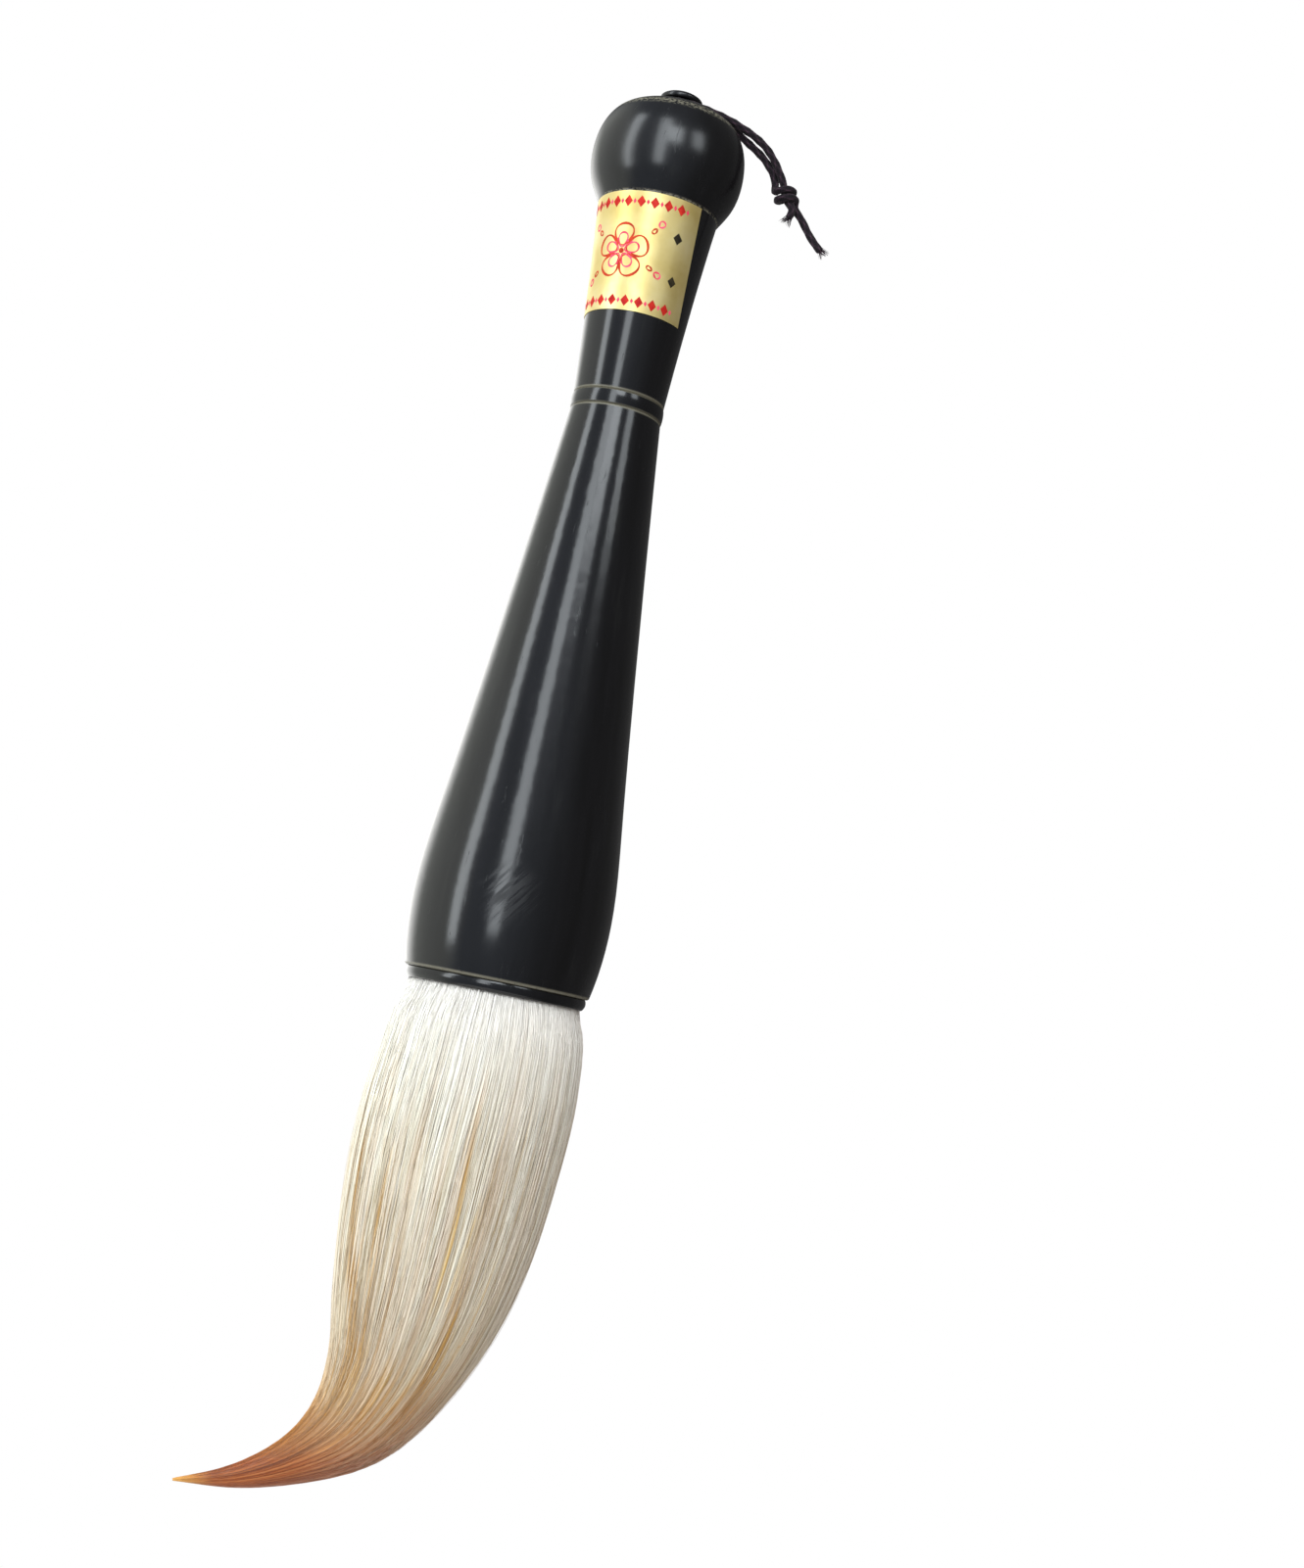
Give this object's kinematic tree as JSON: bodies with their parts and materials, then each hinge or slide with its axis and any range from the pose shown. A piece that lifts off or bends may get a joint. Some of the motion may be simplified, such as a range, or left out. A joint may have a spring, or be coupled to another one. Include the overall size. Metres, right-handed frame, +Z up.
{
  "type": "calligraphy brush",
  "caption": "Large bucket-shaped calligraphy brush: turned handle with a knob and button, a full tapering hair tuft, and a short knotted hanging loop of cord.",
  "frame": {"origin": "grip point on the handle's axis, 75 mm above the mouth of the handle", "axes": "+Z up the handle's axis towards the end button, so the hair hangs towards -Z; +X towards the side on which the hanging loop lies; the hair's tip bends towards -X"},
  "size_m": [0.0732, 0.0394, 0.2808],
  "materials": {
    "horn": "polished black horn",
    "hair": "cream animal hair",
    "core_hair": "tawny animal hair",
    "rosin": "set rosin glue",
    "thread": "linen thread",
    "foil": "gold foil paper",
    "cord": "braided dark cord"
  },
  "bodies": {
    "handle": {"barrel": "horn", "mouth_ring": "horn", "waist_ring": "horn", "neck": "horn", "knob": "horn", "end_button": "horn", "label": "foil", "glue_bed": "rosin", "binding_thread": "thread", "outer_hair_root": "hair", "core_hair_root": "core_hair"},
    "tuft": {"outer_hair": "hair", "core_hair": "core_hair"},
    "loop_eye": {"cord_eye": "cord"},
    "hanging_loop": {"cord_strand_long": "cord", "cord_strand_short": "cord", "cord_knot": "cord", "cord_tail_long": "cord", "cord_tail_short": "cord"}
  },
  "joints": [
    {"name": "tuft_bend", "type": "hinge", "parent": "handle", "child": "tuft", "pos_m": [0, 0, -0.075], "axis": [0, 1, 0], "range_deg": [-25, 25], "stiffness_Nm_per_rad": 0.12},
    {"name": "loop_swivel", "type": "hinge", "parent": "handle", "child": "loop_eye", "pos_m": [0, 0, 0.10365], "axis": [0, 0, 1], "continuous": true},
    {"name": "loop_lift", "type": "hinge", "parent": "loop_eye", "child": "hanging_loop", "pos_m": [0.006, 0, 0.10365], "axis": [0, -1, 0], "range_deg": [0, 100]}
  ]
}
